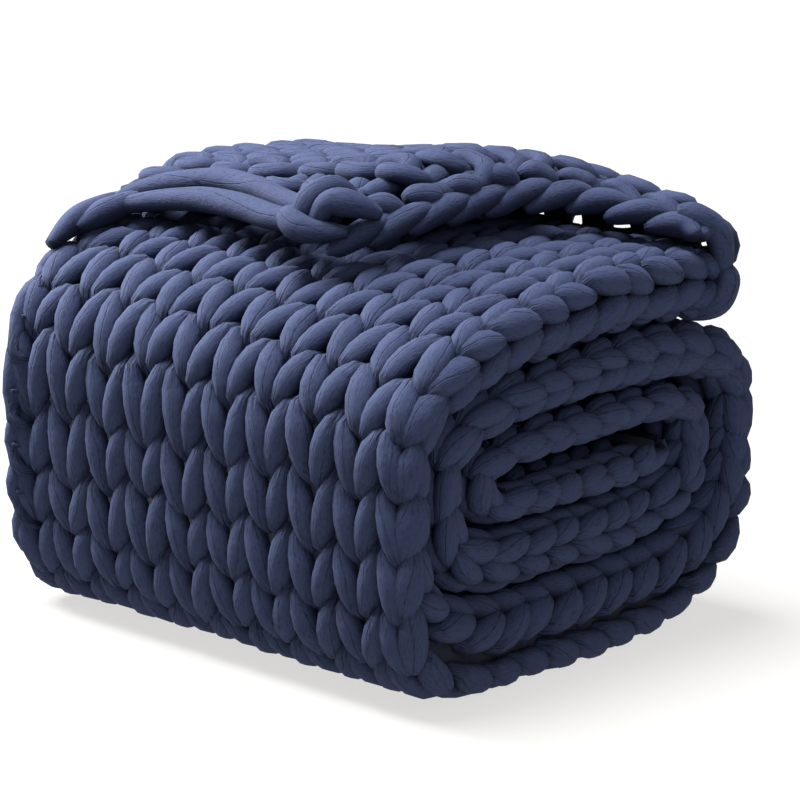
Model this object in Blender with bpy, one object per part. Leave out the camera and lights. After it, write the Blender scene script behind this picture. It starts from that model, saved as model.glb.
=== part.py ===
"""A chunky hand-knit weighted blanket, folded across its width and rolled up.

Metres, +Z up. The roll's axis is X, its front is -Y, and it lies on a small flat spot at z = 0.
Two solids: the wound roll, which is one doubled strip in a flattened spiral, and its loose end,
a single layer that curls up behind and flops forward over the top.
"""
import math

import bmesh
import bpy
import numpy as np

# ---- driving dimensions --------------------------------------------------------------------
ROLL_LENGTH = 0.560        # along the roll's axis, fold to selvedge
WALES = 10                 # columns of stitches that show across the front
FLAT_SPOT = 0.004          # height that the roll's own weight presses flat

FRONT_REACH = 0.266        # half extents of the flattened spiral along Y before it winds inwards
BACK_REACH = 0.284
BACK_SLACK = 0.022         # the outer turn hangs loosely behind, off the turn inside it
TURN_DEPTH = 0.046         # thickness of one turn where it stands upright, along Y
# how far the winding reaches up and down at each depth, counted in turns from the outer face
TOP_DEPTHS = (-0.10, 0.20, 1.08, 2.08, 3.08, 3.9)
TOP_REACHES = (0.192, 0.178, 0.107, 0.051, 0.008, 0.004)
UNDER_DEPTHS = (-0.10, 0.90, 1.58, 2.58, 3.58, 3.9)
UNDER_REACHES = (0.2482, 0.1892, 0.112, 0.047, 0.006, 0.004)
SLOPE_HEIGHT = 0.203       # height over the roll's middle at which the slopes below are full
STRIP_FACE = 0.48          # half of a turn that the strip fills, the rest is air between turns
TURNS = 2.80               # from the loose end's root to the core
START_ANGLE = math.radians(62.0)   # where the outer turn starts, from +Y towards +Z
FRONT_SLOPE = 0.050        # how far the top falls towards the front edge at the folded end
FAR_SLOPE_SHARE = 0.30     # of that slope at the other end
FAR_RISE = 0.012           # the top is this much higher at the other end
UNDERSIDE_SLOPE = 0.010    # how far the underside rises towards the front edge
SQUARENESS = 3.6           # superellipse exponents: 2 is an ellipse, more is squarer
BACK_CORNER_SQUARENESS = 3.1
FRONT_CORNER_SQUARENESS = 6.0

FOLD_RADIUS = 0.028        # the fold at the roll's +X end
SELVEDGE_RADIUS = 0.016    # the two edges at its -X end
LAYER_GAP = 0.05           # air between the two layers, as a share of a turn's thickness

OUTER_STEPS = 56           # two to a stitch around the outer turn
INNER_STEPS = 28           # around each turn inside it, at every second angle of the outer turn
STITCH_LIFT = 0.0042       # height of a leg's crest over the strip's face

FOLD_LIFT = 0.0025         # how far the stitches swell the fold's edge

# one knitted wale across its width, at the narrow place between two stitches and at mid stitch
WALE_PROFILE = (
    # place between, place at mid, lift between, lift at mid
    (0.00, 0.00, -1.0, -1.0),
    (0.39, 0.24, -0.3, 1.0),
    (0.61, 0.76, -0.3, 1.0),
)

LOOSE_THICKNESS = 0.030
LOOSE_COLUMNS = 22
LOOSE_ROWS = 26
ROOT_GAP = 0.0004          # between the loose end's root and the outer turn's cut face
KNOT_X = 0.052
KNOT_WIDTH = 0.024
KNOT_SWELL = 0.45
SQUEEZE = 0.55             # most of a bend's radius that the knitting fills on its inside
EDGE_SWELL = 0.22          # the twisted cord along the free edge, thicker than the knitting
BUMP_LIFT = 0.0026

# the loose end at stations along the roll: its back, its ridge and its free edge
LOOSE_STATIONS = (
    # x, back_y, back_z, ridge_y, ridge_z, edge_y, edge_z
    (-0.276, 0.236, 0.398, 0.090, 0.422, -0.100, 0.413),
    (-0.215, 0.240, 0.402, 0.085, 0.425, -0.084, 0.419),
    (-0.110, 0.242, 0.405, 0.075, 0.434, -0.096, 0.417),
    (0.000, 0.244, 0.407, 0.070, 0.448, -0.102, 0.414),
    (0.052, 0.244, 0.407, 0.065, 0.453, -0.104, 0.413),
    (0.086, 0.244, 0.407, 0.105, 0.447, -0.030, 0.430),
    (0.112, 0.244, 0.406, 0.125, 0.445, 0.066, 0.440),
    (0.150, 0.243, 0.401, 0.160, 0.433, 0.130, 0.437),
    (0.205, 0.242, 0.392, 0.185, 0.418, 0.155, 0.427),
    (0.250, 0.240, 0.384, 0.200, 0.413, 0.172, 0.424),
    (0.276, 0.236, 0.372, 0.190, 0.405, 0.156, 0.414),
)


def make_material(name, colour, roughness):
    material = bpy.data.materials.new(name)
    material.use_nodes = True
    shader = material.node_tree.nodes["Principled BSDF"]
    shader.inputs["Base Color"].default_value = (*colour, 1.0)
    shader.inputs["Roughness"].default_value = roughness
    shader.inputs["Metallic"].default_value = 0.0
    return material


def smooth_step(value):
    value = np.clip(value, 0.0, 1.0)
    return value * value * (3.0 - 2.0 * value)


# ---- the flattened spiral ------------------------------------------------------------------
def signed_power(value, power):
    return math.copysign(abs(value) ** power, value)


def spiral_point(angle, across):
    """The strip's (y, z) at a winding angle; across is -0.5 on its inner face, 0.5 on its outer."""
    turns = (angle - START_ANGLE) / math.tau
    depth = turns + 0.5 - across
    c, s = math.cos(angle), math.sin(angle)
    slack = BACK_SLACK * float(smooth_step((1.08 - turns) / 0.20))
    reach_y = (BACK_REACH + slack if c >= 0.0 else FRONT_REACH) - TURN_DEPTH * depth
    power = SQUARENESS
    if s >= 0.0:
        reach_z = np.interp(depth, TOP_DEPTHS, TOP_REACHES)
    else:
        reach_z = np.interp(depth, UNDER_DEPTHS, UNDER_REACHES)
        corner = BACK_CORNER_SQUARENESS if c >= 0.0 else FRONT_CORNER_SQUARENESS
        power += (corner - SQUARENESS) * (1.0 - float(smooth_step((depth - 0.45) / 0.80)))
    c, s = signed_power(c, 2.0 / SQUARENESS), signed_power(s, 2.0 / SQUARENESS)
    push = (abs(c) ** power + abs(s) ** power) ** (-1.0 / power)
    return reach_y * c * push, reach_z * s * push


def settled(x, y, z):
    """The height of a point of the wound form once its top and underside have settled."""
    near = 0.5 + x / ROLL_LENGTH
    up, down = max(z / SLOPE_HEIGHT, 0.0), max(-z / SLOPE_HEIGHT, 0.0)
    fall = up * min(max((0.060 - y) / 0.280, 0.0), 1.1) ** 1.3
    rise = down * min(max((0.040 - y) / 0.280, 0.0), 1.1)
    slope = FRONT_SLOPE * (FAR_SLOPE_SHARE + (1.0 - FAR_SLOPE_SHARE) * near)
    return z - slope * fall + UNDERSIDE_SLOPE * rise + FAR_RISE * up * (1.0 - near)


def even_angles(steps):
    """Winding angles of one turn, from START_ANGLE, evenly spaced along its outer face."""
    fine = np.linspace(START_ANGLE, START_ANGLE + math.tau, 1441)
    points = np.array([spiral_point(a, 0.5) for a in fine])
    travelled = np.concatenate([[0.0], np.cumsum(np.linalg.norm(np.diff(points, axis=0), axis=1))])
    return np.interp(np.linspace(0.0, travelled[-1], steps + 1), travelled, fine)


def floor_level():
    """The spiral's own height of the surface that the roll lies on."""
    face = [spiral_point(a, 0.5) for a in even_angles(OUTER_STEPS)]
    return min(settled(0.0, y, z) for y, z in face) + FLAT_SPOT


def winding_angles():
    """Section angles: fine on the outer turn, then every turn inside at every second of them."""
    outer = even_angles(OUTER_STEPS)
    inner = outer[::OUTER_STEPS // INNER_STEPS][1:]
    last = START_ANGLE + math.tau * TURNS
    angles = list(outer)
    for turn in (1, 2):
        angles += [a + math.tau * turn for a in inner if a + math.tau * turn <= last]
    return angles


# ---- the doubled strip's section -----------------------------------------------------------
def half_ellipse(centre, radii, start, end, steps):
    for k in range(steps + 1):
        turn = math.radians(start + (end - start) * k / steps)
        yield centre[0] + radii[0] * math.cos(turn), centre[1] + radii[1] * math.sin(turn)


def strip_section(mid_stitch):
    """The folded strip's outline as rows of (x, across, lift), once around."""
    half = ROLL_LENGTH / 2.0
    face = STRIP_FACE
    layer = (face - LAYER_GAP) / 2.0
    left, right = -half + SELVEDGE_RADIUS, half - FOLD_RADIUS
    wale = (right - left) / WALES
    rows = []
    for k in range(WALES):
        for place_between, place_mid, lift_between, lift_mid in WALE_PROFILE:
            place, lift = (place_mid, lift_mid) if mid_stitch else (place_between, lift_between)
            rows.append((left + (k + place) * wale, face, lift * STITCH_LIFT))
    swell = FOLD_LIFT if mid_stitch else -FOLD_LIFT
    for x, across in half_ellipse((right, 0.0), (FOLD_RADIUS + swell, face), 90.0, -90.0, 5):
        rows.append((x, across, 0.0))
    rows.append((0.0, -face, 0.0))
    for x, across in half_ellipse((left, -face + layer), (SELVEDGE_RADIUS, layer), 270.0, 90.0, 3):
        rows.append((x, across, 0.0))
    rows += [(0.0, -LAYER_GAP, 0.0), (right, 0.0, 0.0), (0.0, LAYER_GAP, 0.0)]
    selvedge = list(half_ellipse((left, face - layer), (SELVEDGE_RADIUS, layer), 270.0, 90.0, 3))
    rows += [(x, across, 0.0) for x, across in selvedge[:-1]]
    return rows


def raised_point(x, angle, across, lift):
    """A (y, z) point of the strip, raised by lift along the winding's own outward normal."""
    y, z = spiral_point(angle, across)
    y2, z2 = spiral_point(angle + 0.01, across)
    z, z2 = settled(x, y, z), settled(x, y2, z2)
    run = math.hypot(y2 - y, z2 - z)
    return y + (z2 - z) / run * lift, z - (y2 - y) / run * lift


def build_roll():
    angles = winding_angles()
    floor = floor_level()
    mesh = bmesh.new()
    rings = []
    for k, angle in enumerate(angles):
        turns = (angle - START_ANGLE) / math.tau
        # stitches stand out on the outer turn only, and fade where it goes under its own start
        outer = k < OUTER_STEPS
        shown = float(smooth_step(turns / 0.01) - smooth_step((turns - 0.84) / 0.10))
        resting = float(smooth_step((settled(0.0, *spiral_point(angle, 0.5)) - floor) / 0.022))
        ring = []
        for x, across, lift in strip_section(outer and k % 2 == 1):
            y, z = raised_point(x, angle, across, lift * shown * resting)
            ring.append(mesh.verts.new((x, y, max(z, floor))))
        rings.append(ring)
    count = len(rings[0])
    for first, second in zip(rings, rings[1:]):
        for k in range(count):
            n = (k + 1) % count
            mesh.faces.new((first[k], first[n], second[n], second[k]))
    mesh.faces.new(rings[0])
    mesh.faces.new(list(reversed(rings[-1])))
    return mesh


# ---- the loose end -------------------------------------------------------------------------
def station_row(x):
    """The loose end's back, ridge and edge at x, eased between the table's rows."""
    table = np.array(LOOSE_STATIONS)
    k = int(np.clip(np.searchsorted(table[:, 0], x) - 1, 0, len(table) - 2))
    share = (x - table[k, 0]) / (table[k + 1, 0] - table[k, 0])
    before, after = table[max(k - 1, 0)], table[min(k + 2, len(table) - 1)]
    tangent_a = (table[k + 1] - before) / 2.0
    tangent_b = (after - table[k]) / 2.0
    s2, s3 = share ** 2, share ** 3
    row = ((2 * s3 - 3 * s2 + 1) * table[k] + (s3 - 2 * s2 + share) * tangent_a
           + (3 * s2 - 2 * s3) * table[k + 1] + (s3 - s2) * tangent_b)
    return row[1:]


def curl_points(x, root):
    """The loose end's mid line at x: from its root back, up, over the ridge and forward."""
    back_y, back_z, ridge_y, ridge_z, edge_y, edge_z = station_row(x)
    back_z, ridge_z, edge_z = (z + floor_level() for z in (back_z, ridge_z, edge_z))
    heading = np.array([[0.020, -0.002], [0.0, 0.032], [0.0, 0.0], [0.0, 0.0]])
    knots = np.array([root, (back_y, back_z), (ridge_y, ridge_z), (edge_y, edge_z)])
    heading[0] *= 2.2
    heading[2] = (knots[3] - knots[1]) * 0.75
    heading[3] = (knots[3] - knots[2]) * 0.9 + np.array([0.0, -0.006])
    fine = []
    for a in range(3):
        for t in np.linspace(0.0, 1.0, 25)[(1 if a else 0):]:
            t2, t3 = t * t, t ** 3
            fine.append((2 * t3 - 3 * t2 + 1) * knots[a] + (t3 - 2 * t2 + t) * heading[a]
                        + (3 * t2 - 2 * t3) * knots[a + 1] + (t3 - t2) * heading[a + 1])
    fine = np.array(fine)
    travelled = np.concatenate([[0.0], np.cumsum(np.linalg.norm(np.diff(fine, axis=0), axis=1))])
    even = np.linspace(0.0, travelled[-1], LOOSE_ROWS)
    return np.stack([np.interp(even, travelled, fine[:, 0]), np.interp(even, travelled, fine[:, 1])], 1)


def bend_radius(line, j):
    if j in (0, LOOSE_ROWS - 1):
        return 1.0
    a, b = line[j] - line[j - 1], line[j + 1] - line[j]
    turn = math.atan2(a[0] * b[1] - a[1] * b[0], float(a @ b))
    return float(np.linalg.norm(b)) / max(turn, 0.01)


def build_loose_end():
    cut = [np.array(spiral_point(START_ANGLE, a)) for a in (STRIP_FACE, LAYER_GAP)]
    slant = (cut[0] - cut[1]) / np.linalg.norm(cut[0] - cut[1])
    cut = [point + np.array([slant[1], -slant[0]]) * ROOT_GAP for point in cut]
    ends = LOOSE_STATIONS[0][0], LOOSE_STATIONS[-1][0]
    mesh = bmesh.new()
    columns = []
    for i in range(LOOSE_COLUMNS + 1):
        x = ends[0] + (ends[1] - ends[0]) * i / LOOSE_COLUMNS
        top, under = (np.array([y, settled(x, y, z)]) for y, z in cut)
        line = curl_points(x, (top + under) / 2.0)
        ring_out, ring_in = [], []
        for j in range(LOOSE_ROWS):
            before, after = line[max(j - 1, 0)], line[min(j + 1, LOOSE_ROWS - 1)]
            tangent = (after - before) / np.linalg.norm(after - before)
            normal = np.array([tangent[1], -tangent[0]])
            along = j / (LOOSE_ROWS - 1)
            edge = float(smooth_step((along - 0.80) / 0.15))
            knot = KNOT_SWELL * math.exp(-((x - KNOT_X) / KNOT_WIDTH) ** 2)
            sides = 1.0 - 0.45 * float(smooth_step((abs(x) - 0.262) / 0.018))
            rim = 0.55 if j == LOOSE_ROWS - 1 else 1.0
            half = LOOSE_THICKNESS / 2.0 * (1.0 + edge * (EDGE_SWELL + knot)) * sides * rim
            bump = BUMP_LIFT * (1.0 if (i + j) % 2 else -1.0) * (0.0 if j < 2 or rim < 1.0 else 1.0)
            # the inside of the tight turn at the back is squeezed thinner than its bend
            tightest = min(bend_radius(line, k) for k in range(max(j - 2, 0), min(j + 3, LOOSE_ROWS)))
            inside = min(half, SQUEEZE * tightest)
            out_point, in_point = line[j] + normal * (half + bump), line[j] - normal * inside
            if j == 0:
                out_point, in_point = under, top
            ring_out.append(mesh.verts.new((x, *out_point)))
            ring_in.append(mesh.verts.new((x, *in_point)))
        columns.append(ring_out + ring_in[::-1])
    count = len(columns[0])
    for first, second in zip(columns, columns[1:]):
        for k in range(count):
            n = (k + 1) % count
            mesh.faces.new((first[k], first[n], second[n], second[k]))
    rows = LOOSE_ROWS
    for ring, flip in ((columns[0], False), (columns[-1], True)):
        for j in range(rows - 1):
            quad = [ring[j], ring[j + 1], ring[2 * rows - 2 - j], ring[2 * rows - 1 - j]]
            mesh.faces.new(quad if flip else quad[::-1])
    return mesh


# ---- the scene -----------------------------------------------------------------------------
def add_object(name, mesh, material, collection, offset):
    bmesh.ops.recalc_face_normals(mesh, faces=mesh.faces)
    bmesh.ops.triangulate(mesh, faces=mesh.faces)
    bmesh.ops.translate(mesh, verts=mesh.verts, vec=offset)
    data = bpy.data.meshes.new(name)
    mesh.to_mesh(data)
    mesh.free()
    data.materials.append(material)
    data.shade_smooth()
    data.set_sharp_from_angle(angle=math.radians(60.0))
    obj = bpy.data.objects.new(name, data)
    collection.objects.link(obj)
    return obj


def main():
    for obj in list(bpy.data.objects):
        bpy.data.objects.remove(obj)
    collection = bpy.data.collections.new("rolled_weighted_blanket")
    bpy.context.scene.collection.children.link(collection)
    yarn = make_material("navy_jersey_yarn", (0.030, 0.042, 0.105), 0.85)
    edge_yarn = make_material("navy_jersey_edge", (0.036, 0.050, 0.120), 0.85)
    roll = build_roll()
    loose = build_loose_end()
    # the origin is under the middle of the whole piece, on the surface that it lies on
    points = np.array([v.co for part in (roll, loose) for v in part.verts])
    middle = (points.min(axis=0) + points.max(axis=0)) / 2.0
    offset = (-middle[0], -middle[1], -floor_level())
    add_object("wound_roll", roll, yarn, collection, offset)
    add_object("loose_end", loose, edge_yarn, collection, offset)


main()
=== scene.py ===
# %% [markdown]
# # A rolled chunky-knit weighted blanket
# The real blanket is knitted by hand from one very thick yarn, a tube of jersey filled with hollow
# fibre. It is folded in half across its width, rolled up and laid on its side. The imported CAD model
# gives the wound form. This script gives the looks: every row of stitches that can be seen is its own
# length of yarn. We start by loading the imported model, which fixes all places and sizes.

# %% Load the frame
import math

import bpy
import numpy as np
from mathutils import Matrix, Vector


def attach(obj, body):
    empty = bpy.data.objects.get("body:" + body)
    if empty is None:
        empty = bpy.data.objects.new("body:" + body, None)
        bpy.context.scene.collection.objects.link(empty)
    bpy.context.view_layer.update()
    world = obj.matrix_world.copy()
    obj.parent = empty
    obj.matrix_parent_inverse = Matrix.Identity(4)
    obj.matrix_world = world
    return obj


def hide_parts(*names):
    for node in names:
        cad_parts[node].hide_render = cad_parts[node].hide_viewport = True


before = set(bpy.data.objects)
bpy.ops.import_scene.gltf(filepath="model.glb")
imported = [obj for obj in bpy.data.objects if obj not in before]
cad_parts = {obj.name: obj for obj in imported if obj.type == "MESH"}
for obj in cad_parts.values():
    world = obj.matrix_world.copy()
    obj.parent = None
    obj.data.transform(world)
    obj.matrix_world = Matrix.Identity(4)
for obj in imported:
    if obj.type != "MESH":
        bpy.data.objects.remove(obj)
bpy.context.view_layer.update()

# %% [markdown]
# ## The wound form
# A flattened spiral is a family of superellipses, one inside the other: the reach in each direction
# shrinks with the depth under the outer face. Fore and aft the turns are equally thick. Up and down
# a short table gives the reach, because the turns below carry the weight of the rest. The top then
# falls towards the front, more at the folded end. The same sizes made the CAD solid, so the stitches
# land on its faces. They are in metres, in the winding's own frame: x along the roll, y towards its
# back and z up from its middle. Depth is counted in turns under the outer face.

# %% Sizes of the winding
ROLL_LENGTH = 0.560                # from the fold to the edges
FLAT_SPOT = 0.004                  # how far the floor presses the outer turn flat
TURNS = 2.80
START_ANGLE = math.radians(62.0)   # where the loose end lifts off, from +Y towards +Z
LAST_ANGLE = START_ANGLE + math.tau * TURNS
FRONT_REACH = 0.266
BACK_REACH = 0.284
BACK_SLACK = 0.022                 # the outer turn sags away from the rest at the back
SLACK_TURNS = 1.08                 # the slack is gone after this many turns
SLACK_EASE = 0.20
TURN_DEPTH = 0.046                 # a turn's thickness where it stands upright
TOP_DEPTHS = (-0.10, 0.20, 1.08, 2.08, 3.08, 3.9)
TOP_REACHES = (0.192, 0.178, 0.107, 0.051, 0.008, 0.004)
UNDER_DEPTHS = (-0.10, 0.90, 1.58, 2.58, 3.58, 3.9)
UNDER_REACHES = (0.2482, 0.1892, 0.112, 0.047, 0.006, 0.004)
SQUARENESS = 3.6                   # 2 would be an ellipse
BACK_CORNER_SQUARENESS = 3.1
FRONT_CORNER_SQUARENESS = 6.0
CORNER_DEPTH = 0.45                # the corners' own squareness holds down to this depth
CORNER_EASE = 0.80
FRONT_SLOPE = 0.050                # how far the top falls towards the front
FAR_SLOPE_SHARE = 0.30             # the part of that at the unfolded end
FAR_RISE = 0.012
UNDERSIDE_SLOPE = 0.010
SLOPE_HEIGHT = 0.203               # the height where the slopes count in full
FALL_START = 0.060                 # the y where the top's fall and the underside's rise start
RISE_START = 0.040
SLOPE_RUN = 0.280
SLOPE_LIMIT = 1.1
FALL_POWER = 1.3
print("the strip makes", TURNS, "turns,", TURN_DEPTH * 1000, "mm each where they stand upright")

# %% [markdown]
# ## A point of the winding
# One function gives any point of the rolled strip from its winding angle, its place through the
# strip's thickness and its place along the roll. All stitches are laid out with it. A curve object
# could follow a spiral too, but it could not say where the strip's two faces are. One shift then
# carries the winding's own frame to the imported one, where the whole model is centred on the floor.

# %% The flattened spiral
def smooth_step(value):
    """0 below 0, 1 above 1, and eased between."""
    value = np.clip(value, 0.0, 1.0)
    return value * value * (3.0 - 2.0 * value)


def spiral(angle, across, x=0.0):
    """(y, z) of the doubled strip, from across = -0.5 on its inner face to 0.5 on its outer."""
    turns = (angle - START_ANGLE) / math.tau
    depth = turns + 0.5 - across
    c, s = np.cos(angle), np.sin(angle)
    slack = BACK_SLACK * smooth_step((SLACK_TURNS - turns) / SLACK_EASE)
    reach_y = np.where(c >= 0.0, BACK_REACH + slack, FRONT_REACH) - TURN_DEPTH * depth
    reach_z = np.where(s >= 0.0, np.interp(depth, TOP_DEPTHS, TOP_REACHES),
                       np.interp(depth, UNDER_DEPTHS, UNDER_REACHES))
    outer = 1.0 - smooth_step((depth - CORNER_DEPTH) / CORNER_EASE)
    corner = np.where(c < 0.0, FRONT_CORNER_SQUARENESS, BACK_CORNER_SQUARENESS)
    power = np.where(s >= 0.0, SQUARENESS, SQUARENESS + (corner - SQUARENESS) * outer)
    c = np.sign(c) * np.abs(c) ** (2.0 / SQUARENESS)
    s = np.sign(s) * np.abs(s) ** (2.0 / SQUARENESS)
    push = (np.abs(c) ** power + np.abs(s) ** power) ** (-1.0 / power)
    y, z = reach_y * c * push, reach_z * s * push
    # the settled top and underside
    near = 0.5 + x / ROLL_LENGTH
    up, down = np.maximum(z / SLOPE_HEIGHT, 0.0), np.maximum(-z / SLOPE_HEIGHT, 0.0)
    fall = up * np.clip((FALL_START - y) / SLOPE_RUN, 0.0, SLOPE_LIMIT) ** FALL_POWER
    rise = down * np.clip((RISE_START - y) / SLOPE_RUN, 0.0, SLOPE_LIMIT)
    slope = FRONT_SLOPE * (FAR_SLOPE_SHARE + (1.0 - FAR_SLOPE_SHARE) * near)
    z = z - slope * fall + UNDERSIDE_SLOPE * rise + FAR_RISE * up * (1.0 - near)
    y, z = np.broadcast_arrays(y, z)
    return np.stack([y, z], -1)


outer_face = spiral(np.linspace(START_ANGLE, START_ANGLE + math.tau, 2000), 0.5)
SHIFT_X = -0.0016
SHIFT_Y = -0.0085
SHIFT_Z = -(outer_face[:, 1].min() + FLAT_SPOT)
print("spiral shifted by", SHIFT_X, SHIFT_Y, round(SHIFT_Z, 4))

# %% [markdown]
# ## The camera
# The photograph looks down a little, past the corner between the roll's front and its folded end,
# through a long lens. We could place the camera by eye, but here the corner's foot is tied to its pixel,
# and the camera's place follows from its direction, its lens and its distance.

# %% Camera
PICTURE_PIXELS = 800
FOCAL_PIXELS = 3100.0
CAMERA_PITCH = math.radians(13.2)    # looking down
CAMERA_YAW = math.radians(43.5)      # turned towards the folded end
SENSOR_WIDTH = 36.0
NEAR_CORNER_FORWARD = 0.2462         # the corner's foot, in the winding's own frame
NEAR_CORNER_DOWN = 0.1822
NEAR_CORNER_PIXEL = (410.0, 706.0)
NEAR_CORNER_DISTANCE = 2.79

near_corner = Vector((ROLL_LENGTH / 2.0 + SHIFT_X, SHIFT_Y - NEAR_CORNER_FORWARD, SHIFT_Z - NEAR_CORNER_DOWN))
forward = Vector((-math.sin(CAMERA_YAW) * math.cos(CAMERA_PITCH),
                  math.cos(CAMERA_YAW) * math.cos(CAMERA_PITCH), -math.sin(CAMERA_PITCH)))
right = Vector((math.cos(CAMERA_YAW), math.sin(CAMERA_YAW), 0.0))
upward = right.cross(forward)
across_picture = (NEAR_CORNER_PIXEL[0] - PICTURE_PIXELS / 2) / FOCAL_PIXELS
up_picture = (PICTURE_PIXELS / 2 - NEAR_CORNER_PIXEL[1]) / FOCAL_PIXELS
ray = forward + right * across_picture + upward * up_picture

camera_data = bpy.data.cameras.new("camera")
camera_data.sensor_width = SENSOR_WIDTH
camera_data.lens = FOCAL_PIXELS / PICTURE_PIXELS * SENSOR_WIDTH
camera = bpy.data.objects.new("camera", camera_data)
camera.location = near_corner - ray * NEAR_CORNER_DISTANCE
camera.rotation_euler = forward.to_track_quat("-Z", "Y").to_euler()
bpy.context.scene.collection.objects.link(camera)
bpy.context.scene.camera = camera
print("camera at", [round(v, 3) for v in camera.location])

# %% [markdown]
# ## Rows of knitting
# On the real roll the rows are drawn out over the front and pushed together on the top and the
# underside. We could space them evenly, but the stitches on the front would come out too short. So the
# rows are counted along the strip, and each small step of the winding counts as more or less of a row.
# The table of rows against winding angle is then read backwards, also for a fraction of a row.

# %% Rows along the strip
TOP_PITCH = 0.0445
FRONT_PITCH = 0.0580
BACK_PITCH = 0.0500
SIDE_START = 0.1                     # how far a turn faces front or back before its rows are drawn out
SIDE_EASE = 0.55
FIRST_ROW = 0.35
ANGLE_BEFORE = 0.35                  # the table starts a little before the winding
fine_angles = np.linspace(START_ANGLE - ANGLE_BEFORE, LAST_ANGLE, 6000)
fine_points = spiral(fine_angles, 0.5, ROLL_LENGTH / 2.0)
step_lengths = np.linalg.norm(np.diff(fine_points, axis=0), axis=1)
facing_back = np.cos(fine_angles[1:])
pitch = (TOP_PITCH + (FRONT_PITCH - TOP_PITCH) * smooth_step((-facing_back - SIDE_START) / SIDE_EASE)
         + (BACK_PITCH - TOP_PITCH) * smooth_step((facing_back - SIDE_START) / SIDE_EASE))
row_table = np.concatenate([[0.0], np.cumsum(step_lengths / pitch)])
row_table = row_table - np.interp(START_ANGLE, fine_angles, row_table) + FIRST_ROW
ROWS = int(row_table[-1]) + 1
ROWS_UNDER_START = 3                 # the outer turn goes on for some rows under its own start
OUTER_ROWS = int(np.interp(START_ANGLE + math.tau, fine_angles, row_table)) + ROWS_UNDER_START


def row_angle(row):
    """The winding angle of a row."""
    return np.interp(row, row_table, fine_angles)


print(ROWS, "rows,", OUTER_ROWS, "of them at full width")

# %% [markdown]
# ## Across the cloth
# The place across the cloth is measured from the fold at the roll's +X end, over its outer face:
# negative on the outer layer, positive on the inner one. Near the other end each layer has its own
# rounded edge. Every place gives a point on the cloth's face and the direction straight out of it.
# Knitting a flat cloth and bending it with modifiers would be another way, but a modifier can't both
# fold the cloth and wind it so that the stitches stay the right size.

# %% The cloth's face
FOLD_RADIUS = 0.028
EDGE_RADIUS = 0.016
FOLD_PATH_RADIUS = 0.0270            # of the yarn's way around the fold and the edge
EDGE_PATH_RADIUS = 0.0145
LAYER_GAP = 0.05                     # half the gap between the layers, as a share of a turn
FACE = 0.48                          # from the strip's middle to its face, as a share of a turn
ANGLE_STEP = 0.004                   # for the direction along the strip
FOLD_START = ROLL_LENGTH / 2.0 - FOLD_RADIUS
EDGE_START = -ROLL_LENGTH / 2.0 + EDGE_RADIUS
QUARTER_FOLD = math.pi / 2.0 * FOLD_PATH_RADIUS
QUARTER_EDGE = math.pi / 2.0 * EDGE_PATH_RADIUS
FLAT_WIDTH = FOLD_START - EDGE_START
print("each layer is", round(FLAT_WIDTH, 3), "m wide between its round ends")


def cloth_face(place, angle):
    """Points on the cloth's face and their outward normals."""
    side = np.where(place > 0.0, -1.0, 1.0)
    run = np.abs(place)
    turn = np.clip(1.0 - run / QUARTER_FOLD, 0.0, None) * math.pi / 2.0
    past = np.clip(run - QUARTER_FOLD - FLAT_WIDTH, 0.0, None) / QUARTER_EDGE * math.pi / 2.0
    layer = (FACE - LAYER_GAP) / 2.0
    along = FOLD_START - np.clip(run - QUARTER_FOLD, 0.0, FLAT_WIDTH)
    x = along + FOLD_RADIUS * np.sin(turn) - EDGE_RADIUS * np.sin(past)
    across = side * np.where(past > 0.0, FACE - layer + layer * np.cos(past), FACE * np.cos(turn))
    here = spiral(angle, across, x)
    way = spiral(angle + ANGLE_STEP, across, x) - here
    way /= np.linalg.norm(way, axis=-1, keepdims=True)
    thickness = np.linalg.norm(spiral(angle, 0.5) - spiral(angle, -0.5), axis=-1)
    lean_x = np.sin(turn) * FACE * thickness - np.sin(past) * layer * thickness
    lean_out = side * np.where(past > 0.0, np.cos(past) * EDGE_RADIUS, np.cos(turn) * FOLD_RADIUS)
    size = np.sqrt(lean_x ** 2 + lean_out ** 2)
    lean_x, lean_out = lean_x / size, lean_out / size
    points = np.stack([x + SHIFT_X, here[..., 0] + SHIFT_Y, here[..., 1] + SHIFT_Z], -1)
    normals = np.stack([lean_x, lean_out * way[..., 1], -lean_out * way[..., 0]], -1)
    return points, normals


# %% [markdown]
# ## One stitch
# In stocking stitch each row of yarn runs in waves: up one leg, over the head, down the other leg
# and through to the next stitch. The face shows the legs as columns of V shapes, and the heads lie
# behind. Three short waves describe it: sideways, along and out of the cloth. The filled yarn is
# plump in the middle of a leg and squeezed thin where it passes under its neighbours. A sculpted V,
# copied in a grid, would look much the same on a flat cloth, but it could not bend around the roll.

# %% The stitch's path
WALE = 0.0568                        # the width of a stitch, across the cloth
LEG_SWING = 0.27                     # how far a leg leans sideways, in stitches
LEG_STRAIGHTENING = 0.05
ROW_REACH = 0.82                     # from a row's middle to its heads, in rows
LEG_DEPTH = 0.0115                   # of the yarn's middle under the cloth's face
LEG_WIDTH = 0.0150                   # half widths and heights of the yarn
LEG_HEIGHT = 0.0135
PLUMP_REACH = 0.47                   # how far along a leg it stays plump, in rows
PLUMP_EDGE = 2.6
RAISE_EASE = 0.42                    # how soon a leg comes up from under the heads, in rows
SAMPLES = 26                         # points on a stitch's centre line
SAMPLES_DRAWN_IN = 0.16
# for the heads: depth, half width, half height, and how far a row's own ends are tucked away
ROLL_HEADS = (0.0270, 0.0064, 0.0080, 0.0)

# the wave runs from -pi to pi over a stitch, with its samples closer together on the legs
even = (np.arange(SAMPLES) + 0.5) / SAMPLES * math.tau - math.pi
STITCH_PHASES = even - SAMPLES_DRAWN_IN * np.sin(2.0 * even)


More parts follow.
